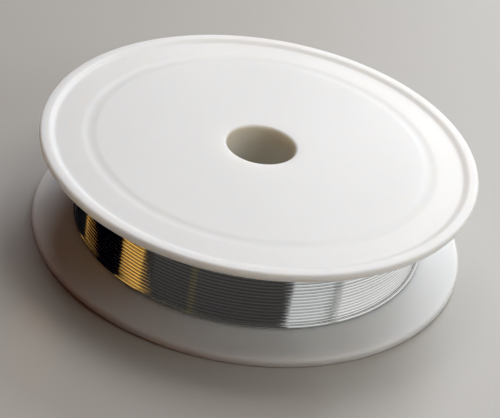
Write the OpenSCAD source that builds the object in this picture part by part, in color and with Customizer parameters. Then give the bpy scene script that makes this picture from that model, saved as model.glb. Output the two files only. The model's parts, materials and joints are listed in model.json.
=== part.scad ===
// Wire spool: two moulded flange halves pressed together at the hub, carrying one
// length of flux-cored solder wire wound in even layers.
//
// The spool's axis is +Z. The origin is the centre of the bore, in the plane of the
// lower rim that the spool stands on.

/* [Flanges] */
// Outside diameter of both flanges
flange_d = 65; // [62:0.5:80]
// Height of the whole spool, from rim to rim
spool_h = 15.9; // [14:0.1:24]
// Thickness of the flange plate over the barrel
plate_t = 1.7; // [1.4:0.1:1.8]
// Thickness of the flange at its outer edge, where its wire side has tapered away
edge_t = 1.35; // [1.35:0.05:1.6]
// Height of the raised rim above the plate's outer face
rim_rise = 0.25; // [0.25:0.05:0.8]
// Width of the raised rim, measured along the radius
rim_w = 1.8; // [1.8:0.1:2.6]
// Rounding of the rim's crest on the inside
rim_round = 0.2; // [0.1:0.05:0.2]
// Rounding of the rim's crest on the outside
nose_round = 0.3; // [0.3:0.05:0.8]
// Rounding of the flange's outer edge on the wire's side
lip_round = 0.5; // [0.3:0.05:0.5]
// Rounding in the foot of the rim, where it meets the plate
foot_round = 0.15; // [0.1:0.05:0.15]

/* [Outer face] */
// Mean diameter of the shallow ring-shaped hollow in each outer face
hollow_d = 50.6; // [44:0.1:52]
// Width of that hollow
hollow_w = 2.3; // [1:0.1:3]
// Depth of that hollow
hollow_depth = 0.1; // [0.05:0.01:0.3]
// How far the band outside the hollow falls away towards the rim's foot
band_fall = 0.15; // [0.1:0.01:0.3]
// How far the face rises from the hollow to the bore's mouth
crown = 0.12; // [0:0.01:0.2]

/* [Hub] */
// Diameter of the through bore, which runs on a 10 mm spindle
bore_d = 10.3; // [10.1:0.05:12.3]
// Rounding of the bore's mouth
mouth_round = 0.4; // [0.2:0.1:1.2]
// Wall of the tube around the bore
tube_wall = 2.4; // [2:0.1:3]
// Outside diameter of the hollow barrel that the wire is wound on
barrel_d = 48.6; // [36:0.1:50]
// Wall of the barrel
barrel_wall = 1.8; // [1.6:0.1:2.4]
// Length of the lap where one half slides into the other
lap = 3.2; // [2.6:0.1:4]
// Radial gap between the two lapped walls
lap_gap = 0.04; // [0.02:0.01:0.06]
// How far the snap bead stands out of the lapped wall
snap_rise = 0.12; // [0.08:0.02:0.16]

/* [Wire] */
// Diameter of the solder wire
wire_d = 0.55; // [0.45:0.05:0.8]
// Diameter of the flux core inside the wire
core_d = 0.2; // [0.15:0.01:0.25]
// Smallest gap left between neighbouring turns
turn_gap = 0.015; // [0.01:0.005:0.03]
// Length of the free end that springs off the winding
free_len = 12; // [6:0.5:13]
// Angle at which the free end lifts off the lower flange
free_lift = 10; // [0:1:25]
// Direction of the free end and of the anchored end, seen from above
end_angle = 62; // [0:1:359]

/* [Hidden] */

// The wound turns have a twelve-sided section, which keeps sixty rings light; the
// closing turn and the two ends, which stand alone, are round.
$fn = 128;
wire_fn = 24;
wound_fn = 12;

flange_r = flange_d / 2;
bore_r = bore_d / 2;
barrel_r = barrel_d / 2;
rim_t = plate_t + rim_rise;
rim_foot_r = flange_r - rim_w;
mid_z = spool_h / 2;

// The ring-shaped hollow is a shallow arc: its radius follows from chord and depth.
hollow_r = hollow_d / 2;
hollow_arc = (hollow_w * hollow_w / 4 + hollow_depth * hollow_depth) / (2 * hollow_depth);
hollow_start_r = hollow_r - hollow_w / 2;
hollow_end_r = hollow_r + hollow_w / 2;
mouth_z = rim_rise - crown;
foot_z = rim_rise + band_fall;

// Hub joint: the walls split half and half, and the shoulders meet at mid height.
tube_split_r = bore_r + tube_wall / 2;
tube_r = bore_r + tube_wall;
barrel_bore_r = barrel_r - barrel_wall;
barrel_split_r = barrel_r - barrel_wall / 2;
shoulder_gap = 0.1;
snap_round = 0.25;
snap_z = mid_z + lap * 0.6;
snap_r = barrel_split_r - lap_gap / 2 - snap_round + snap_rise;

// Winding: full layers fill the gap between the flanges, nested layers sit in the grooves.
wire_r = wire_d / 2;
gap_low_z = rim_t;
gap_high_z = spool_h - rim_t;
turns = floor((gap_high_z - gap_low_z) / (wire_d + turn_gap));
pitch = (gap_high_z - gap_low_z) / turns;
layer_step = sqrt(pow(wire_d + turn_gap, 2) - pow(pitch / 2, 2));
first_r = barrel_r + wire_r + turn_gap;
second_r = first_r + layer_step;
outer_r = second_r + layer_step;
closing_r = outer_r + wire_d + turn_gap;
taper_r = closing_r + wire_r;
low_turn_z = gap_low_z + pitch / 2;
high_turn_z = gap_high_z - pitch / 2;

// Inner end of the wire: a bend and a straight leg through a slot in the barrel wall.
bend_r = 1;
end_gap = 0.06;
anchor_arc = atan2(bend_r + end_gap, first_r);
anchor_leg = 3.5;
slot_w = 2.6;
slot_h = 1;

// The closing turn stops short of where the free end has cleared it.
closing_gap = acos(closing_r / (closing_r + wire_d + turn_gap)) + 2;
core_r = core_d / 2;
core_gap = 0.01;

// The material outside a rounded corner, for cutting an edge round or filling a foot.
module corner_round(round) {
    difference() {
        square(round);
        translate([round, round])
            circle(r = round);
    }
}

// Section of the plate, which crowns towards the bore's mouth and falls to the rim's foot.
module plate_section() {
    difference() {
        polygon([[bore_r, mouth_z], [bore_r + mouth_round, mouth_z], [hollow_start_r, rim_rise],
                 [hollow_end_r, rim_rise], [rim_foot_r, foot_z], [flange_r - rim_w / 2, foot_z],
                 [flange_r - rim_w / 2, rim_t], [bore_r, rim_t]]);
        translate([hollow_r, rim_rise + hollow_depth - hollow_arc])
            circle(r = hollow_arc);
        translate([bore_r, mouth_z])
            corner_round(mouth_round);
    }
}

// Section of the raised rim, before the flange's wire side is tapered.
module rim_section() {
    difference() {
        translate([rim_foot_r, 0])
            square([rim_w, rim_t]);
        translate([rim_foot_r, 0])
            corner_round(rim_round);
        translate([flange_r, 0])
            rotate(90)
                corner_round(nose_round);
    }
}

// What the taper takes off the wire side, from the closing turn out to the edge.
module taper_cut() {
    polygon([[taper_r, rim_t], [flange_r - lip_round, edge_t], [flange_r, edge_t], [flange_r, rim_t]]);
    translate([flange_r, edge_t])
        rotate(180)
            corner_round(lip_round);
}

// Section of one flange, with its rim on z = 0 and its wire side upwards.
module flange_section() {
    difference() {
        union() {
            plate_section();
            rim_section();
            translate([rim_foot_r, foot_z])
                rotate(180)
                    corner_round(foot_round);
        }
        taper_cut();
    }
}

// Hub walls of the lower half: stumps up to mid height, then the lapped sleeves.
module lower_hub_section() {
    translate([bore_r, rim_t])
        square([tube_wall, mid_z - rim_t]);
    translate([tube_split_r + lap_gap / 2, rim_t])
        square([tube_wall / 2 - lap_gap / 2, mid_z + lap - rim_t]);
    translate([barrel_bore_r, rim_t])
        square([barrel_wall, mid_z - rim_t]);
    translate([barrel_bore_r, rim_t])
        square([barrel_wall / 2 - lap_gap / 2, mid_z + lap - rim_t]);
    translate([snap_r, snap_z])
        circle(r = snap_round, $fn = wire_fn);
}

// Hub walls of the upper half, which close over the lower half's sleeves.
module upper_hub_section() {
    sleeve_top = mid_z + lap + shoulder_gap;
    translate([bore_r, sleeve_top])
        square([tube_wall, spool_h - rim_t - sleeve_top]);
    translate([bore_r, mid_z + shoulder_gap])
        square([tube_wall / 2 - lap_gap / 2, spool_h - rim_t - mid_z - shoulder_gap]);
    difference() {
        translate([barrel_bore_r, mid_z])
            square([barrel_wall, spool_h - rim_t - mid_z]);
        translate([barrel_bore_r, mid_z])
            square([barrel_wall / 2 + lap_gap / 2, lap + shoulder_gap]);
        translate([snap_r, snap_z])
            circle(r = snap_round + lap_gap, $fn = wire_fn);
    }
}

// One turn of wire, as a closed ring or as the arc left after a gap.
module wire_turn(r, z, arc = 360, sides = wound_fn) {
    translate([0, 0, z])
        rotate_extrude(angle = arc)
            translate([r, 0])
                circle(r = wire_r, $fn = sides);
}

// A layer of closed turns, from its lowest turn upwards.
module wire_layer(r, z, count) {
    for (i = [0 : count - 1])
        wire_turn(r, z + i * pitch);
}

// A straight length of solder with the empty channel of its flux core.
module cored_leg(length) {
    difference() {
        cylinder(h = length, r = wire_r, $fn = wire_fn);
        cylinder(h = length, r = core_r, $fn = wire_fn);
    }
}

// The thread of flux that fills that channel.
module core_thread(length) {
    cylinder(h = length, r = core_r - core_gap, $fn = wire_fn);
}

// The slot in the barrel wall that the wire's inner end passes through.
module anchor_slot() {
    rotate(end_angle)
        translate([barrel_bore_r - barrel_wall, -slot_w / 2, gap_high_z - slot_h])
            cube([3 * barrel_wall, slot_w, slot_h]);
}

// Moves its children to the bend's end, with +Z pointing in towards the axis.
module at_anchor_leg() {
    rotate(end_angle)
        translate([first_r - bend_r, 0, high_turn_z])
            rotate([0, -90, 0])
                children();
}

// Moves its children to the start of the free end, with +Z along it.
module at_free_leg() {
    rotate(end_angle)
        translate([closing_r, end_gap, low_turn_z])
            rotate([free_lift - 90, 0, 0])
                children();
}

module upper_flange_half() {
    color("white")
        difference() {
            rotate_extrude() {
                translate([0, spool_h])
                    mirror([0, 1])
                        flange_section();
                upper_hub_section();
            }
            anchor_slot();
        }
}

module lower_flange_half() {
    color("white")
        rotate_extrude() {
            flange_section();
            lower_hub_section();
        }
}

module first_wire_layer() {
    color("silver") {
        wire_layer(first_r, low_turn_z, turns - 1);
        rotate(end_angle + anchor_arc)
            wire_turn(first_r, high_turn_z, 360 - anchor_arc);
    }
}

module second_wire_layer() {
    color("silver")
        wire_layer(second_r, low_turn_z + pitch / 2, turns - 1);
}

module outer_wire_layer() {
    color("silver")
        wire_layer(outer_r, low_turn_z, turns);
}

module closing_turn() {
    color("silver")
        rotate(end_angle + closing_gap)
            wire_turn(closing_r, low_turn_z, 360 - closing_gap, wire_fn);
}

module anchored_wire_end() {
    color("silver") {
        rotate(end_angle)
            translate([first_r - bend_r, bend_r, high_turn_z])
                rotate(-90)
                    rotate_extrude(angle = 90)
                        translate([bend_r, 0])
                            circle(r = wire_r, $fn = wire_fn);
        at_anchor_leg()
            cored_leg(anchor_leg);
    }
}

module free_wire_end() {
    color("silver")
        at_free_leg()
            cored_leg(free_len);
}

module flux_core() {
    color("goldenrod") {
        at_anchor_leg()
            core_thread(anchor_leg);
        at_free_leg()
            core_thread(free_len);
    }
}

upper_flange_half();
lower_flange_half();
first_wire_layer();
second_wire_layer();
outer_wire_layer();
closing_turn();
anchored_wire_end();
free_wire_end();
flux_core();
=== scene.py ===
"""Looks of the solder wire spool: two moulded flange halves and one length of bright wire."""

import json
import math

import bmesh
import bpy
from mathutils import Matrix, Vector, noise


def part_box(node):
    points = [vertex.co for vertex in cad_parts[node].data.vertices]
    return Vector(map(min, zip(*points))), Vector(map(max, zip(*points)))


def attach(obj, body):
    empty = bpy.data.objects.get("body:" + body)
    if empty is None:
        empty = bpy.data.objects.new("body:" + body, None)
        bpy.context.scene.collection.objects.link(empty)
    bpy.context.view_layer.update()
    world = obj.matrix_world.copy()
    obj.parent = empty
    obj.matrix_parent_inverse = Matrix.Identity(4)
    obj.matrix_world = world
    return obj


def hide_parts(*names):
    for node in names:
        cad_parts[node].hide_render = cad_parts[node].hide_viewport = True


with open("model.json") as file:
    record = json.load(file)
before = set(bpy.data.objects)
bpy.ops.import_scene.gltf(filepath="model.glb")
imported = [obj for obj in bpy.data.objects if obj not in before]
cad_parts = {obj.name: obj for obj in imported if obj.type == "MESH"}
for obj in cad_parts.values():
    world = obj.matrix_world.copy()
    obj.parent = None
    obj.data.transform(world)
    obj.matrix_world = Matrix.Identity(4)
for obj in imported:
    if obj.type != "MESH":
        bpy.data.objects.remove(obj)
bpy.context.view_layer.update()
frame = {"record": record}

MM = 0.001
TAU = 2 * math.pi

# ---------------------------------------------------------------------------------------
# Sizes that the frame gives
# ---------------------------------------------------------------------------------------
FLANGE_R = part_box("upper_flange_half")[1].x
SPOOL_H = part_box("upper_flange_half")[1].z
MID_Z = SPOOL_H / 2
BORE_R = next(m for m in frame["record"]["mounts"] if m["name"] == "spindle_bore")["dims"]["r_mm"] * MM


def ring_sizes(node, wire_r):
    """Centre-line radius, and lowest and highest turn heights, of a node of wire turns."""
    low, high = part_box(node)
    return high.x - wire_r, low.z + wire_r, high.z - wire_r


closing_low, closing_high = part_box("closing_turn")
WIRE_R = (closing_high.z - closing_low.z) / 2
CLOSING_R, LOW_TURN_Z, _ = ring_sizes("closing_turn", WIRE_R)
OUTER_R, _, HIGH_TURN_Z = ring_sizes("outer_wire_layer", WIRE_R)
SECOND_R, SECOND_LOW_Z, _ = ring_sizes("second_wire_layer", WIRE_R)
FIRST_R = ring_sizes("first_wire_layer", WIRE_R)[0]
PITCH = 2 * (SECOND_LOW_Z - LOW_TURN_Z)
TURNS = 1 + round((HIGH_TURN_Z - LOW_TURN_Z) / PITCH)

# The gap between the flanges, which the turns fill from the lower flange to the upper one
FLANGE_T = LOW_TURN_Z - PITCH / 2
GAP_LOW_Z = FLANGE_T
GAP_HIGH_Z = SPOOL_H - FLANGE_T

# ---------------------------------------------------------------------------------------
# Details of the moulding, which the frame's boxes can't give
# ---------------------------------------------------------------------------------------
# The outer face has a raised rim, a ring-shaped hollow over the barrel, a crown that rises towards
# the bore, and a band that falls from the hollow to the rim's foot. The edge is rounded more on
# the wire's side, at the lip, than on the outside, at the nose. Between them the mould parts and
# leaves a faint ridge.
RIM_RISE = 0.25 * MM
RIM_W = 1.8 * MM
EDGE_T = 1.35 * MM
NOSE_ROUND = 0.3 * MM
LIP_ROUND = 0.5 * MM
PARTING_RIDGE = 0.015 * MM
FOOT_W = 1.2 * MM
MOUTH_ROUND = 0.4 * MM
HOLLOW_R = 25.3 * MM
HOLLOW_W = 2.6 * MM
HOLLOW_START = HOLLOW_R - HOLLOW_W / 2
HOLLOW_END = HOLLOW_R + HOLLOW_W / 2
HOLLOW_DEPTH = 0.1 * MM
BAND_FALL = 0.15 * MM
CROWN = 0.12 * MM

# Both halves have part of the barrel and of the tube around the bore, which lap over each other.
# The slot in the barrel lets the wire start inside.
TUBE_WALL = 2.4 * MM
BARREL_R = 24.3 * MM
BARREL_WALL = 1.8 * MM
BARREL_FILLET = 0.25 * MM
LAP = 3.2 * MM
LAP_GAP = 0.04 * MM
SEAM = 0.1 * MM
SLOT_W = 2.6 * MM
SLOT_H = 1.0 * MM

# A thin flange is never quite flat. The scale counts waves per metre, and each seed picks a warp.
WARP_HEIGHT = 0.05 * MM
WARP_SCALE = 28.0
UPPER_WARP_SEED = 3.1
LOWER_WARP_SEED = 7.7

# How finely the flanges are drawn: points per stretch of the outline, and columns around
MOUTH_STEPS = 10
FACE_STEPS = 14
HOLLOW_STEPS = 20
BAND_STEPS = 8
FOOT_STEPS = 12
EDGE_STEPS = 12
TAPER_STEPS = 16
FILLET_STEPS = 5
LATHE_STEPS = 288
SHARP_ANGLE = math.radians(32)

# ---------------------------------------------------------------------------------------
# Details of the wire
# ---------------------------------------------------------------------------------------
# The two ends of the wire
END_ANGLE = math.radians(62)
BEND_R = 1.0 * MM
ANCHOR_LEG = 3.5 * MM
FREE_LEN = 12.0 * MM
FREE_LIFT = math.radians(10)
FREE_CURVE = 1.4
CORE_R = 0.1 * MM
THREAD_R = CORE_R * 0.95
END_GAP = 0.01 * MM

# Each turn lies level and steps over to the next row within a short sector. The first layer
# steps just before its anchored end, the others just behind the free end. The clearances keep
# a stretch of wire off the one that it starts beside.
STEP_BEFORE_END = math.radians(-28)
STEP_BEHIND_END = math.radians(11.5)
STEP_SPAN = math.radians(24)
BEND_CLEARANCE = math.radians(0.1)
END_CLEARANCE = math.radians(2)

# Hidden turns are drawn a little thin, so that they stay apart. Turns in view touch.
HIDDEN_R = WIRE_R * 0.98
TIGHT_R = PITCH / 2

# Unevenness of the turns in view, out of line and out of level
RADIAL_STRAY = 0.04 * MM
AXIAL_STRAY = 0.012 * MM
RADIAL_SEED = 5.0
AXIAL_SEED = 36.0
STRAY_SCALE = 1.7
STRAY_PER_ROW = 0.83

# How finely the wire is drawn: points along its stretches, and sides around it
STEPS_PER_TURN = 200
HIDDEN_STEPS_PER_TURN = 96
CLIMB_STEPS = 12
LEG_STEPS = 10
BEND_STEP_DEG = 6
FREE_STEPS = 32
HIDDEN_SIDES = 8
LAYER_SIDES = 16
WIRE_SIDES = 24
THREAD_SIDES = 12


# ---------------------------------------------------------------------------------------
# Small helpers
# ---------------------------------------------------------------------------------------
def share(value, start, end):
    """How far a value lies on the way from the start to the end, held between 0 and 1."""
    return min(max((value - start) / (end - start), 0.0), 1.0)


def ease(value, start, end):
    """The same share, but setting off and arriving gently."""
    t = share(value, start, end)
    return t * t * (3 - 2 * t)


def steps(start, end, count):
    """Evenly spaced values after the start, up to and including the end."""
    return [start + (end - start) * i / count for i in range(1, count + 1)]


def at(r, angle, z):
    """The point at a radius, an angle about the spool's axis and a height."""
    return Vector((r * math.cos(angle), r * math.sin(angle), z))


def add_object(name, data):
    """Puts a new object with this data into the scene."""
    made = bpy.data.objects.new(name, data)
    bpy.context.scene.collection.objects.link(made)
    return made


def add_mesh(name, bm, material):
    """Turns a bmesh into an object of one material."""
    mesh = bpy.data.meshes.new(name)
    bm.to_mesh(mesh)
    bm.free()
    mesh.materials.append(material)
    return add_object(name, mesh)


# ---------------------------------------------------------------------------------------
# Outlines of the two halves, as points of (radius, height)
# ---------------------------------------------------------------------------------------
def arc(centre_r, centre_z, radius, start_deg, end_deg, count):
    """Points along an arc."""
    points = []
    for i in range(count + 1):
        angle = math.radians(start_deg + (end_deg - start_deg) * i / count)
        points.append((centre_r + radius * math.cos(angle), centre_z + radius * math.sin(angle)))
    return points


def outer_face(r):
    """Depth of the outer face below the rim's crest, from the bore's mouth to the rim's foot."""
    inwards = share(r, HOLLOW_START, BORE_R)
    outwards = share(r, HOLLOW_R, FLANGE_R - RIM_W)
    across = (r - HOLLOW_R) / (HOLLOW_W / 2)
    dip = HOLLOW_DEPTH * 0.5 * (1 + math.cos(math.pi * across)) if abs(across) < 1 else 0.0
    return RIM_RISE - CROWN * inwards + dip + BAND_FALL * outwards


def rim_foot(start):
    """The smooth slope from the outer face up to the rim's crest."""
    depth = outer_face(start)
    points = []
    for i in range(1, FOOT_STEPS + 1):
        fall = 0.5 * (1 + math.cos(math.pi * i / FOOT_STEPS))
        points.append((start + FOOT_W * i / FOOT_STEPS, depth * fall))
    return points


def wire_side():
    """The side that faces the wire, from the edge to the barrel. It tapers towards the edge."""
    taper_start = CLOSING_R + WIRE_R
    taper_end = FLANGE_R - LIP_ROUND
    radii = steps(taper_end, BARREL_R + BARREL_FILLET, TAPER_STEPS)[:-1]
    return [(r, FLANGE_T + (EDGE_T - FLANGE_T) * ease(r, taper_start, taper_end)) for r in radii]


def flange_outline():
    """Outline of one flange from the bore's mouth, over the rim and back to the barrel."""
    mouth_r = BORE_R + MOUTH_ROUND
    foot_start = FLANGE_R - RIM_W - FOOT_W / 2
    radii = steps(mouth_r, HOLLOW_START, FACE_STEPS)
    radii += steps(HOLLOW_START, HOLLOW_END, HOLLOW_STEPS)
    radii += steps(HOLLOW_END, foot_start, BAND_STEPS)
    ridge_z = (NOSE_ROUND + EDGE_T - LIP_ROUND) / 2
    points = arc(mouth_r, outer_face(BORE_R) + MOUTH_ROUND, MOUTH_ROUND, 180, 270, MOUTH_STEPS)
    points += [(r, outer_face(r)) for r in radii]
    points += rim_foot(foot_start)
    points += arc(FLANGE_R - NOSE_ROUND, NOSE_ROUND, NOSE_ROUND, 270, 360, EDGE_STEPS)
    points += [(FLANGE_R + PARTING_RIDGE, ridge_z)]
    points += arc(FLANGE_R - LIP_ROUND, EDGE_T - LIP_ROUND, LIP_ROUND, 0, 90, EDGE_STEPS)
    points += wire_side()
    points += arc(BARREL_R + BARREL_FILLET, FLANGE_T + BARREL_FILLET, BARREL_FILLET, 270, 180, FILLET_STEPS)
    return points


def hub_outline(gap, sleeve_end, plate_z, tube_end):
    """Barrel and tube of one half. Their walls lap with the other half's from mid height to the
    sleeve's end: each half has one side of a wall there, and keeps the gap from its middle."""
    barrel_bore = BARREL_R - BARREL_WALL
    barrel_split = BARREL_R - BARREL_WALL / 2 - gap
    tube_r = BORE_R + TUBE_WALL
    tube_split = BORE_R + TUBE_WALL / 2 + gap
    return [
        (BARREL_R, MID_Z),
        (barrel_split, MID_Z),
        (barrel_split, sleeve_end),
        (barrel_bore, sleeve_end),
        (barrel_bore, plate_z),
        (tube_r, plate_z),
        (tube_r, sleeve_end),
        (tube_split, sleeve_end),
        (tube_split, tube_end),
        (BORE_R, tube_end),
    ]


def lower_outline():
    """Closed outline of the lower half."""
    return flange_outline() + hub_outline(LAP_GAP / 2, MID_Z + LAP, GAP_LOW_Z, MID_Z)


def upper_outline():
    """Closed outline of the upper half, whose flange is the lower one turned over."""
    flange = [(r, SPOOL_H - z) for r, z in flange_outline()]
    return flange + hub_outline(-LAP_GAP / 2, MID_Z + LAP + SEAM, GAP_HIGH_Z, MID_Z + SEAM)


# ---------------------------------------------------------------------------------------
# Mesh tools
# ---------------------------------------------------------------------------------------
def flange_warp(x, y, seed):
    """A slow wave that dies out towards the hub."""
    outwards = share(math.hypot(x, y), BARREL_R / 2, FLANGE_R)
    wave = noise.noise(Vector((x * WARP_SCALE, y * WARP_SCALE, seed)))
    return WARP_HEIGHT * outwards * outwards * wave


def lathe(outline, seed):
    """Closed body of revolution from a closed outline, warped as the seed says."""
    bm = bmesh.new()
    columns = []
    for i in range(LATHE_STEPS):
        angle = TAU * i / LATHE_STEPS
        column = []
        for r, z in outline:
            x, y = r * math.cos(angle), r * math.sin(angle)
            column.append(bm.verts.new((x, y, z + flange_warp(x, y, seed))))
        columns.append(column)
    count = len(outline)
    for i, column in enumerate(columns):
        following = columns[(i + 1) % LATHE_STEPS]
        for j in range(count):
            k = (j + 1) % count
            bm.faces.new((column[j], column[k], following[k], following[j]))
    return bm


def cut_box(bm, low, high, turn):
    """Cuts an upright box, turned about the spool's axis, out of a closed mesh."""
    tool = bmesh.new()
    bmesh.ops.create_cube(tool, size=1)
    middle = (Vector(low) + Vector(high)) / 2
    extent = Vector(high) - Vector(low)
    place = Matrix.Rotation(turn, 4, "Z") @ Matrix.Translation(middle) @ Matrix.Diagonal((*extent, 1))
    bmesh.ops.transform(tool, matrix=place, verts=tool.verts)
    objects = []
    for source in (bm, tool):
        bmesh.ops.recalc_face_normals(source, faces=source.faces)
        mesh = bpy.data.meshes.new("cutting")
        source.to_mesh(mesh)
        source.free()
        objects.append(add_object("cutting", mesh))
    body, cutter = objects
    cut = body.modifiers.new("cut", "BOOLEAN")
    cut.operation = "DIFFERENCE"
    cut.solver = "EXACT"
    cut.object = cutter
    result = bmesh.new()
    result.from_mesh(body.evaluated_get(bpy.context.evaluated_depsgraph_get()).data)
    for made in objects:
        mesh = made.data
        bpy.data.objects.remove(made)
        bpy.data.meshes.remove(mesh)
    return result


def cross_sections(bm, path, radius, sides):
    """One ring of points around each point of the path, square to it."""
    rings = []
    for i, point in enumerate(path):
        before, after = path[max(i - 1, 0)], path[min(i + 1, len(path) - 1)]
        tangent = (after - before).normalized()
        side = Vector((0, 0, 1)).cross(tangent).normalized()
        up = tangent.cross(side)
        ring = []
        for j in range(sides):
            around = math.cos(TAU * j / sides) * side + math.sin(TAU * j / sides) * up
            ring.append(bm.verts.new(point + radius * around))
        rings.append(ring)
    return rings


def path_lengths(path):
    """How far along the path each of its points lies."""
    lengths = [0.0]
    for before, after in zip(path, path[1:]):
        lengths.append(lengths[-1] + (after - before).length)
    return lengths


def skin(bm, rings, lengths):
    """Faces between the rings. Their UVs run along the wire in millimetres, and once around it."""
    uv = bm.loops.layers.uv.verify()
    sides = len(rings[0])
    for i in range(len(rings) - 1):
        for j in range(sides):
            k = (j + 1) % sides
            face = bm.faces.new((rings[i][j], rings[i][k], rings[i + 1][k], rings[i + 1][j]))
            along = (lengths[i], lengths[i], lengths[i + 1], lengths[i + 1])
            around = (j / sides, (j + 1) / sides, (j + 1) / sides, j / sides)
            for loop, u, v in zip(face.loops, along, around):
                loop[uv].uv = (u / MM, v)


def sweep(path, radius, sides, hole=0.0):
    """A round wire along a path of points, with flat ends and perhaps a channel along its middle."""
    bm = bmesh.new()
    lengths = path_lengths(path)
    outer = cross_sections(bm, path, radius, sides)
    inner = cross_sections(bm, path, hole, sides) if hole else None
    skin(bm, outer, lengths)
    if hole:
        skin(bm, inner, lengths)
    for end in (0, -1):
        if not hole:
            bm.faces.new(outer[end])
            continue
        for j in range(sides):
            k = (j + 1) % sides
            bm.faces.new((outer[end][j], outer[end][k], inner[end][k], inner[end][j]))
    return bm


# ---------------------------------------------------------------------------------------
# Path of the wire
# ---------------------------------------------------------------------------------------
def stray(row, angle, seed):
    """Small unevenness of a hand-guided winding, smooth along the wire."""
    level = at(STRAY_SCALE, angle, row * STRAY_PER_ROW + seed)
    return noise.noise(level)


def layer_path(radius, first_z, direction, begin, end, step_at,
               per_turn=HIDDEN_STEPS_PER_TURN, radial=0.0, axial=0.0):
    """One layer as a path. Angles count on from the direction of the wire's two ends."""
    points = []
    total = round((end - begin) / TAU * per_turn)
    for i in range(total + 1):
        swept = begin + (end - begin) * i / total
        due = (swept - step_at) / TAU
        row = math.floor(due)
        row = row - 1 + ease((due - row) * TAU, 0, STEP_SPAN) if row >= 1 else 0.0
        angle = END_ANGLE + swept
        r = radius + radial * stray(row, angle, RADIAL_SEED)
        z = first_z + direction * PITCH * row + axial * stray(row, angle, AXIAL_SEED)
        points.append(at(r, angle, z))
    return points


def climb_path():
    """The wire runs on straight beside its own free end, up to the closing turn's radius."""
    climb = steps(0, math.acos(OUTER_R / CLOSING_R), CLIMB_STEPS)
    return [at(OUTER_R / math.cos(angle), END_ANGLE + angle, LOW_TURN_Z) for angle in climb]


def turned_to_end(path):
    """Turns a path that is drawn at the angle 0 to where the wire's ends are."""
    return [Matrix.Rotation(END_ANGLE, 3, "Z") @ point for point in path]


def anchored_path():
    """Straight through the slot in the barrel, then a bend into the first turn."""
    corner = Vector((FIRST_R - BEND_R, BEND_R, HIGH_TURN_Z))
    path = []
    for i in range(LEG_STEPS):
        path.append(corner + Vector((-ANCHOR_LEG * (1 - i / LEG_STEPS), -BEND_R, 0)))
    for degrees in range(-90, 1, BEND_STEP_DEG):
        path.append(corner + at(BEND_R, math.radians(degrees), 0))
    return turned_to_end(path)


def free_path():
    """Leaves the closing turn along its tangent and springs up off the lower flange."""
    path = []
    for i in range(FREE_STEPS + 1):
        t = i / FREE_STEPS
        y = END_GAP + FREE_LEN * math.cos(FREE_LIFT) * t
        z = LOW_TURN_Z + FREE_LEN * math.sin(FREE_LIFT) * t ** FREE_CURVE
        path.append(Vector((CLOSING_R, y, z)))
    return turned_to_end(path)


# ---------------------------------------------------------------------------------------
# Materials
# ---------------------------------------------------------------------------------------
# Each pair of colours is mixed by a noise
PLASTIC_COLOURS = (0.80, 0.79, 0.77), (0.84, 0.83, 0.81)
SOLDER_COLOURS = (0.80, 0.80, 0.79), (0.88, 0.88, 0.87)
ROSIN_COLOURS = (0.55, 0.27, 0.04), (0.72, 0.42, 0.10)
# Painted shade: the bore's wall is painted darker and warmer, for the dim inside of the bore
PAINTED_BORE_SHADE = (0.72, 0.69, 0.61)
PLASTIC_ROUGHNESS = 0.46, 0.56
SOLDER_ROUGHNESS = 0.05, 0.13
NOISE_RANGE = 0.3, 0.7


class Shader:
    """A short way to write a node tree: add() makes a node, and link() joins two sockets."""

    def __init__(self, name):
        self.material = bpy.data.materials.new(name)
        self.material.use_nodes = True
        self.tree = self.material.node_tree
        self.tree.nodes.clear()
        self.output = self.add("ShaderNodeOutputMaterial")
        self.surface = self.add("ShaderNodeBsdfPrincipled")
        self.link(self.surface, "BSDF", self.output, "Surface")

    def add(self, kind, **settings):
        """Makes a node. A setting goes to the input of that name, or else to the node itself."""
        node = self.tree.nodes.new(kind)
        for key, value in settings.items():
            if key in node.inputs:
                node.inputs[key].default_value = value
            else:
                setattr(node, key, value)
        return node

    def link(self, source, output, target, socket):
        self.tree.links.new(source.outputs[output], target.inputs[socket])

    def set(self, **values):
        """Sets inputs of the surface; an underscore stands for a space."""
        for key, value in values.items():
            self.surface.inputs[key.replace("_", " ")].default_value = value

    def coords(self, kind="Object", scale=(1, 1, 1)):
        """Texture coordinates of a kind, stretched by the scale."""
        source = self.add("ShaderNodeTexCoord")
        mapping = self.add("ShaderNodeMapping", Scale=scale)
        self.link(source, kind, mapping, "Vector")
        return mapping

    def noise(self, coords, scale, detail):
        node = self.add("ShaderNodeTexNoise", Scale=scale, Detail=detail)
        self.link(coords, "Vector", node, "Vector")
        return node

    def remap(self, node, output, low, high, to_low, to_high):
        """Stretches the range from low to high over that from to_low to to_high, and clamps it."""
        ranger = self.add("ShaderNodeMapRange")
        for key, value in (("From Min", low), ("From Max", high), ("To Min", to_low), ("To Max", to_high)):
            ranger.inputs[key].default_value = value
        self.link(node, output, ranger, "Value")
        return ranger

    def mix(self, factor, output, first, second):
        """Mixes two colours. Each is a tuple or another mix."""
        node = self.add("ShaderNodeMix", data_type="RGBA")
        for socket, colour in (("A", first), ("B", second)):
            if isinstance(colour, tuple):
                node.inputs[socket].default_value = (*colour, 1)
            else:
                self.link(colour, "Result", node, socket)
        self.link(factor, output, node, "Factor")
        return node

    def paint(self, mixed):
        """Gives the surface a mixed colour."""
        self.link(mixed, "Result", self.surface, "Base Color")

    def roughen(self, source, low, high):
        """Lets the surface's roughness follow a noise."""
        rough = self.remap(source, "Fac", *NOISE_RANGE, low, high)
        self.link(rough, "Result", self.surface, "Roughness")

    def bump(self, heights):
        """Chains bumps from noises and their heights in metres."""
        last = None
        for source, height in heights:
            bump = self.add("ShaderNodeBump", Distance=height)
            self.link(source, "Fac", bump, "Height")
            if last is not None:
                self.link(last, "Normal", bump, "Normal")
            last = bump
        self.link(last, "Normal", self.surface, "Normal")


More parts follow.
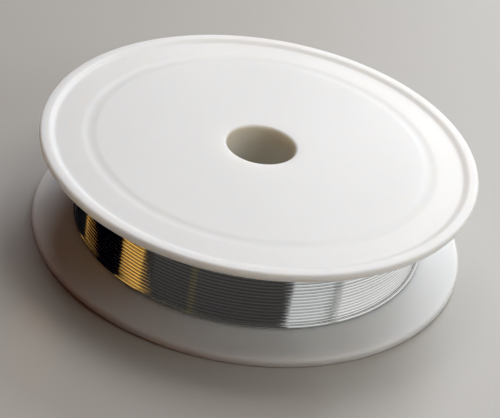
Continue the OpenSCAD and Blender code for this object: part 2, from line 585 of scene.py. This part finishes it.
def spool_plastic():
    """Slightly translucent white polystyrene with a satin moulded skin, and painted shade on the bore's wall.
    """
    shader = Shader("spool_plastic")
    space = shader.coords()
    slow = shader.noise(space, scale=45, detail=3)
    grain = shader.noise(space, scale=5200, detail=2)
    peel = shader.noise(space, scale=650, detail=2)
    tint = shader.mix(slow, "Fac", *PLASTIC_COLOURS)
    level = shader.add("ShaderNodeVectorMath", operation="MULTIPLY")
    level.inputs[1].default_value = (1, 1, 0)
    shader.link(space, "Vector", level, 0)
    radius = shader.add("ShaderNodeVectorMath", operation="LENGTH")
    shader.link(level, 0, radius, 0)
    # The bore's wall takes the painted shade, and the face outside it keeps the plastic's own colour
    outside = shader.remap(radius, "Value", BORE_R, BORE_R + MOUTH_ROUND, 0, 1)
    shader.paint(shader.mix(outside, "Result", PAINTED_BORE_SHADE, tint))
    shader.roughen(slow, *PLASTIC_ROUGHNESS)
    shader.set(Subsurface_Weight=1.0, Subsurface_Radius=(1.0, 0.88, 0.75), Subsurface_Scale=3.0 * MM, IOR=1.5)
    shader.bump([(slow, 0.05 * MM), (peel, 0.004 * MM), (grain, 0.0015 * MM)])
    return shader.material


def solder_wire():
    """Drawn solder: bright metal with fine streaks along the wire."""
    shader = Shader("solder_wire")
    streak = shader.noise(shader.coords("UV", (0.35, 9, 1)), scale=3, detail=3)
    patch = shader.noise(shader.coords("UV", (0.06, 1, 1)), scale=2, detail=2)
    shader.paint(shader.mix(patch, "Fac", *SOLDER_COLOURS))
    shader.roughen(streak, *SOLDER_ROUGHNESS)
    shader.set(Metallic=1.0)
    shader.bump([(streak, 0.002 * MM)])
    return shader.material


def flux():
    """Amber rosin."""
    shader = Shader("flux")
    cloud = shader.noise(shader.coords(), scale=4000, detail=2)
    shader.paint(shader.mix(cloud, "Fac", *ROSIN_COLOURS))
    shader.set(Roughness=0.15, Subsurface_Weight=0.3, Subsurface_Scale=0.2 * MM)
    shader.bump([(cloud, 0.004 * MM)])
    return shader.material


# ---------------------------------------------------------------------------------------
# The pieces
# ---------------------------------------------------------------------------------------
def upper_flange():
    """The upper half, with the slot in its barrel through which the wire starts."""
    slot_low = (BARREL_R - 2 * BARREL_WALL, -SLOT_W / 2, GAP_HIGH_Z - SLOT_H)
    slot_high = (BARREL_R + BARREL_WALL, SLOT_W / 2, GAP_HIGH_Z)
    return cut_box(lathe(upper_outline(), UPPER_WARP_SEED), slot_low, slot_high, END_ANGLE)


def lower_flange():
    """The lower half, which the spool stands on."""
    return lathe(lower_outline(), LOWER_WARP_SEED)


def first_layer():
    """Winds down the barrel from the anchored end."""
    begin = BEND_R / FIRST_R + BEND_CLEARANCE
    path = layer_path(FIRST_R, HIGH_TURN_Z, -1, begin, TURNS * TAU + STEP_BEFORE_END, STEP_BEFORE_END)
    return sweep(path, HIDDEN_R, HIDDEN_SIDES)


def second_layer():
    """Winds back up over the first, with its turns in the first's furrows."""
    begin = STEP_BEHIND_END + END_CLEARANCE
    path = layer_path(SECOND_R, SECOND_LOW_Z, 1, begin, (TURNS - 1) * TAU, STEP_BEHIND_END)
    return sweep(path, HIDDEN_R, HIDDEN_SIDES)


def outer_layer():
    """Winds down again, a little unevenly, and climbs out to the closing turn."""
    begin = STEP_BEHIND_END + END_CLEARANCE
    path = layer_path(OUTER_R, HIGH_TURN_Z, -1, begin, TURNS * TAU, STEP_BEHIND_END,
                      STEPS_PER_TURN, RADIAL_STRAY, AXIAL_STRAY)
    return sweep(path + climb_path(), TIGHT_R, LAYER_SIDES)


def closing_turn():
    """The last turn, outside the pack and on the lower flange."""
    begin = math.acos(CLOSING_R / (CLOSING_R + 2 * WIRE_R)) + END_CLEARANCE
    path = [at(CLOSING_R, END_ANGLE + swept, LOW_TURN_Z) for swept in steps(begin, TAU, STEPS_PER_TURN)]
    return sweep(path, WIRE_R, WIRE_SIDES)


def cored_end(path):
    """A straight end of the wire, with a channel for the flux."""
    return sweep(path, WIRE_R, WIRE_SIDES, CORE_R)


def flux_threads():
    """The rosin inside both ends of the wire, as one mesh."""
    threads = sweep(anchored_path(), THREAD_R, THREAD_SIDES)
    free_thread = bpy.data.meshes.new("free_thread")
    sweep(free_path(), THREAD_R, THREAD_SIDES).to_mesh(free_thread)
    threads.from_mesh(free_thread)
    bpy.data.meshes.remove(free_thread)
    return threads


def add_piece(name, bm, material, node):
    """Adds a piece that stands for a node of the CAD and rides on the one body."""
    bmesh.ops.recalc_face_normals(bm, faces=bm.faces)
    for face in bm.faces:
        face.smooth = True
    for edge in bm.edges:
        if len(edge.link_faces) == 2 and edge.calc_face_angle(0) > SHARP_ANGLE:
            edge.smooth = False
    piece = add_mesh(name, bm, material)
    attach(piece, "root")
    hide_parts(node)


plastic = spool_plastic()
solder = solder_wire()
rosin = flux()

add_piece("upper_flange", upper_flange(), plastic, "upper_flange_half")
add_piece("lower_flange", lower_flange(), plastic, "lower_flange_half")
add_piece("first_layer_of_wire", first_layer(), solder, "first_wire_layer")
add_piece("second_layer_of_wire", second_layer(), solder, "second_wire_layer")
add_piece("outer_layer_of_wire", outer_layer(), solder, "outer_wire_layer")
add_piece("closing_turn_of_wire", closing_turn(), solder, "closing_turn")
add_piece("anchored_end_of_wire", cored_end(anchored_path()), solder, "anchored_wire_end")
add_piece("free_end_of_wire", cored_end(free_path()), solder, "free_wire_end")
add_piece("flux_thread", flux_threads(), rosin, "flux_core")

# ---------------------------------------------------------------------------------------
# Floor and surroundings
# ---------------------------------------------------------------------------------------
BACKDROP = (0.55, 0.54, 0.52, 1)
ROOM = (0.055, 0.016, 0.006, 1)
TABLE = (0.455, 0.436, 0.405, 1)
FLOOR_R = 3.0
FLOOR_SIDES = 96
FADE_START, FADE_END = 0.25, 0.8


def table_top():
    """A plain table, which fades into the backdrop where the camera sees it far out."""
    shader = Shader("floor")
    shader.set(Base_Color=TABLE, Roughness=0.50)
    distance = shader.add("ShaderNodeVectorMath", operation="LENGTH")
    shader.link(shader.coords(), "Vector", distance, 0)
    far = shader.remap(distance, "Value", FADE_START, FADE_END, 0, 1)
    seen = shader.add("ShaderNodeLightPath")
    faded = shader.add("ShaderNodeMath", operation="MULTIPLY")
    shader.link(far, "Result", faded, 0)
    shader.link(seen, "Is Camera Ray", faded, 1)
    backdrop = shader.add("ShaderNodeEmission", Color=BACKDROP)
    blend = shader.add("ShaderNodeMixShader")
    shader.link(faded, "Value", blend, 0)
    shader.link(shader.surface, "BSDF", blend, 1)
    shader.link(backdrop, "Emission", blend, 2)
    shader.link(blend, "Shader", shader.output, "Surface")
    return shader.material


def floor():
    """A round table top, far wider than the view."""
    bm = bmesh.new()
    bmesh.ops.create_circle(bm, cap_ends=True, radius=FLOOR_R, segments=FLOOR_SIDES)
    add_mesh("floor", bm, table_top())


def surroundings():
    """A dim warm room, and a plain backdrop where the camera looks past the floor."""
    world = bpy.data.worlds.new("surroundings")
    bpy.context.scene.world = world
    world.use_nodes = True
    nodes = world.node_tree.nodes
    links = world.node_tree.links
    nodes.clear()
    room = nodes.new("ShaderNodeBackground")
    room.inputs["Color"].default_value = ROOM
    plain = nodes.new("ShaderNodeBackground")
    plain.inputs["Color"].default_value = BACKDROP
    path = nodes.new("ShaderNodeLightPath")
    seen = nodes.new("ShaderNodeMixShader")
    output = nodes.new("ShaderNodeOutputWorld")
    links.new(path.outputs["Is Camera Ray"], seen.inputs["Fac"])
    links.new(room.outputs[0], seen.inputs[1])
    links.new(plain.outputs[0], seen.inputs[2])
    links.new(seen.outputs[0], output.inputs["Surface"])


# ---------------------------------------------------------------------------------------
# What the bright wire mirrors: painted reflections on glowing cards
# ---------------------------------------------------------------------------------------
def grey(level):
    """A neutral colour."""
    return level, level, level


# Cards that only reflections see stand close around the spool: a wall outside the flanges, and two flat rings
# between them, one low and one high. Their glowing bands are painted reflections on the bright wire. The dark
# low and high rings are painted shade that stands for the flanges' shaded faces as the wire mirrors them.
# Each entry is the angle on the winding, in degrees, where a band starts as the camera sees it, and its
# colour. The camera sees the winding from FRONT_START to FRONT_END, and the bands after that lie behind.
FRONT_START, FRONT_END = 190, 350
WALL_BANDS = [
    (190, (0.008, 0.008, 0.009)),
    (213, (0.95, 0.50, 0.11)),
    (214.5, (0.0, 0.0, 0.001)),
    (232, (0.88, 0.50, 0.12)),
    (240, (0.050, 0.047, 0.045)),
    (256, (0.100, 0.084, 0.045)),
    (258, (0.055, 0.052, 0.052)),
    (287, (0.72, 0.74, 0.74)),
    (300, (0.34, 0.35, 0.35)),
    (303, (0.85, 0.86, 0.85)),
    (346, (0.55, 0.55, 0.54)),
    (370, grey(0.90)),
    (440, grey(0.30)),
    (465, grey(0.80)),
    (490, grey(0.30)),
    (515, (0.60, 0.60, 0.59)),
    (528, grey(0.16)),
    (542, grey(0.05)),
]
LOW_BANDS = [
    (190, (0.0, 0.0, 0.001)),
    (241, (0.026, 0.025, 0.025)),
    (287, (0.42, 0.43, 0.43)),
    (300, grey(0.22)),
    (303, grey(0.55)),
    (346, grey(0.40)),
    (370, grey(0.60)),
    (440, grey(0.25)),
    (465, grey(0.50)),
    (490, grey(0.12)),
    (542, grey(0.01)),
]
HIGH_BANDS = [
    (190, (0.0, 0.0, 0.001)),
    (241, (0.070, 0.066, 0.062)),
    (287, grey(0.09)),
    (370, grey(0.30)),
    (490, grey(0.10)),
    (542, grey(0.01)),
]

# The cards' places, and how many columns each has around the spool
WINDING_R = OUTER_R + WIRE_R
CARD_COLUMNS = 720
CARD_R = 37 * MM
CARD_H = 60 * MM
CARD_GAP = 0.2 * MM
NEAR_CARD_R = CLOSING_R + 1.5 * WIRE_R
LOW_CARD_Z = GAP_LOW_Z + CARD_GAP
HIGH_CARD_Z = GAP_HIGH_Z - CARD_GAP

# Kinds of ray that don't see the cards
UNSEEN_BY = ("camera", "diffuse", "transmission", "volume_scatter", "shadow")


def mirror_offset(winding_deg, eye):
    """Angle from the winding's normal to the level way in which it mirrors the camera's sight.
    Behind, where the camera sees nothing, it runs evenly from one end of the front to the other."""
    if winding_deg > FRONT_END:
        behind = share(winding_deg, FRONT_END, FRONT_START + 360)
        return (1 - behind) * mirror_offset(FRONT_END, eye) + behind * mirror_offset(FRONT_START, eye)
    angle = math.radians(winding_deg)
    view = eye - at(WINDING_R, angle, 0)
    return (angle - math.atan2(view.y, view.x) + math.pi) % TAU - math.pi


def landing(winding_deg, r, z, eye):
    """Where the level ray that the camera mirrors in the winding crosses the radius r."""
    offset = mirror_offset(winding_deg, eye)
    inner = math.asin(WINDING_R / r * math.sin(offset))
    return at(r, math.radians(winding_deg) + offset - inner, z)


def glowing_card():
    """Emission in the colours that the card's mesh carries."""
    material = bpy.data.materials.new("glowing_card")
    material.use_nodes = True
    nodes = material.node_tree.nodes
    links = material.node_tree.links
    nodes.clear()
    colours = nodes.new("ShaderNodeVertexColor")
    colours.layer_name = "glow"
    emission = nodes.new("ShaderNodeEmission")
    output = nodes.new("ShaderNodeOutputMaterial")
    links.new(colours.outputs["Color"], emission.inputs["Color"])
    links.new(emission.outputs[0], output.inputs["Surface"])
    return material


def card(name, bands, inner, outer, eye):
    """A glowing card around the spool, between two edges of (radius, height). Its bands follow
    the mirrored rays, so that the camera sees them upright on the winding."""
    bm = bmesh.new()
    glow = bm.loops.layers.float_color.new("glow")
    angles = [FRONT_START + 360 * i / CARD_COLUMNS for i in range(CARD_COLUMNS)]
    columns = [[bm.verts.new(landing(angle, r, z, eye)) for r, z in (inner, outer)] for angle in angles]
    for i, angle in enumerate(angles):
        colour = [band for start, band in bands if start <= angle][-1]
        here, following = columns[i], columns[(i + 1) % CARD_COLUMNS]
        face = bm.faces.new((here[0], following[0], following[1], here[1]))
        for loop in face.loops:
            loop[glow] = (*colour, 1)
    ring = add_mesh(name, bm, glowing_card())
    for ray in UNSEEN_BY:
        setattr(ring, "visible_" + ray, False)


# ---------------------------------------------------------------------------------------
# Lights and camera
# ---------------------------------------------------------------------------------------
# The distance counts in flange radii.
CAMERA_DISTANCE = 8.336
CAMERA_ELEVATION = math.radians(31.47)
CAMERA_ROLL = math.radians(9.80)
CAMERA_TILT = math.radians(2.07)
CAMERA_LENS = 132.5
CAMERA_SENSOR = 36.0
CAMERA_NEAR, CAMERA_FAR = 0.01, 20.0


def area_light(name, azimuth_deg, elevation_deg, distance, width, height, power, colour):
    """A rectangular lamp that faces the middle of the spool's foot. Lengths are in metres."""
    light = bpy.data.lights.new(name, "AREA")
    light.shape = "RECTANGLE"
    light.size, light.size_y = width, height
    light.energy = power
    light.color = colour
    lamp = add_object(name, light)
    azimuth, elevation = math.radians(azimuth_deg), math.radians(elevation_deg)
    lamp.location = at(math.cos(elevation), azimuth, math.sin(elevation)) * distance
    lamp.rotation_mode = "QUATERNION"
    lamp.rotation_quaternion = lamp.location.to_track_quat("Z", "Y")


def camera():
    """Looks along +Y and down at the centre of the upper rim, a little tilted and rolled."""
    data = bpy.data.cameras.new("camera")
    data.lens = CAMERA_LENS
    data.sensor_width = CAMERA_SENSOR
    data.clip_start, data.clip_end = CAMERA_NEAR, CAMERA_FAR
    back = Vector((0, -math.cos(CAMERA_ELEVATION), math.sin(CAMERA_ELEVATION)))
    right = Vector((1, 0, 0))
    up = back.cross(right)
    level = Matrix((right, -up, -back))
    turned = Matrix.Rotation(CAMERA_ROLL, 3, "Z") @ Matrix.Rotation(CAMERA_TILT, 3, "X") @ level
    axes = Matrix((turned[0], -turned[1], -turned[2])).transposed()
    place = Vector((0, 0, SPOOL_H)) + back * CAMERA_DISTANCE * FLANGE_R
    eye = add_object("camera", data)
    eye.matrix_world = Matrix.Translation(place) @ axes.to_4x4()
    bpy.context.scene.camera = eye
    return eye.matrix_world.translation


floor()
surroundings()
area_light("window", azimuth_deg=71, elevation_deg=30, distance=0.8,
           width=0.38, height=0.35, power=3.0, colour=(0.90, 0.95, 1.0))
area_light("skylight", azimuth_deg=95, elevation_deg=60, distance=0.8,
           width=0.50, height=0.40, power=2.3, colour=(0.98, 0.99, 1.0))
area_light("right_light", azimuth_deg=20, elevation_deg=62, distance=0.35,
           width=0.20, height=0.18, power=0.32, colour=(0.98, 0.99, 1.0))
area_light("front_fill", azimuth_deg=-20, elevation_deg=30, distance=0.5,
           width=0.28, height=0.25, power=0.68, colour=(0.96, 1.0, 0.95))
eye_point = camera()
card("wall_card", WALL_BANDS, (CARD_R, GAP_LOW_Z), (CARD_R, CARD_H), eye_point)
card("low_card", LOW_BANDS, (NEAR_CARD_R, LOW_CARD_Z), (CARD_R, LOW_CARD_Z), eye_point)
card("high_card", HIGH_BANDS, (NEAR_CARD_R, HIGH_CARD_Z), (FLANGE_R, HIGH_CARD_Z), eye_point)
bpy.context.scene.view_settings.view_transform = "Standard"
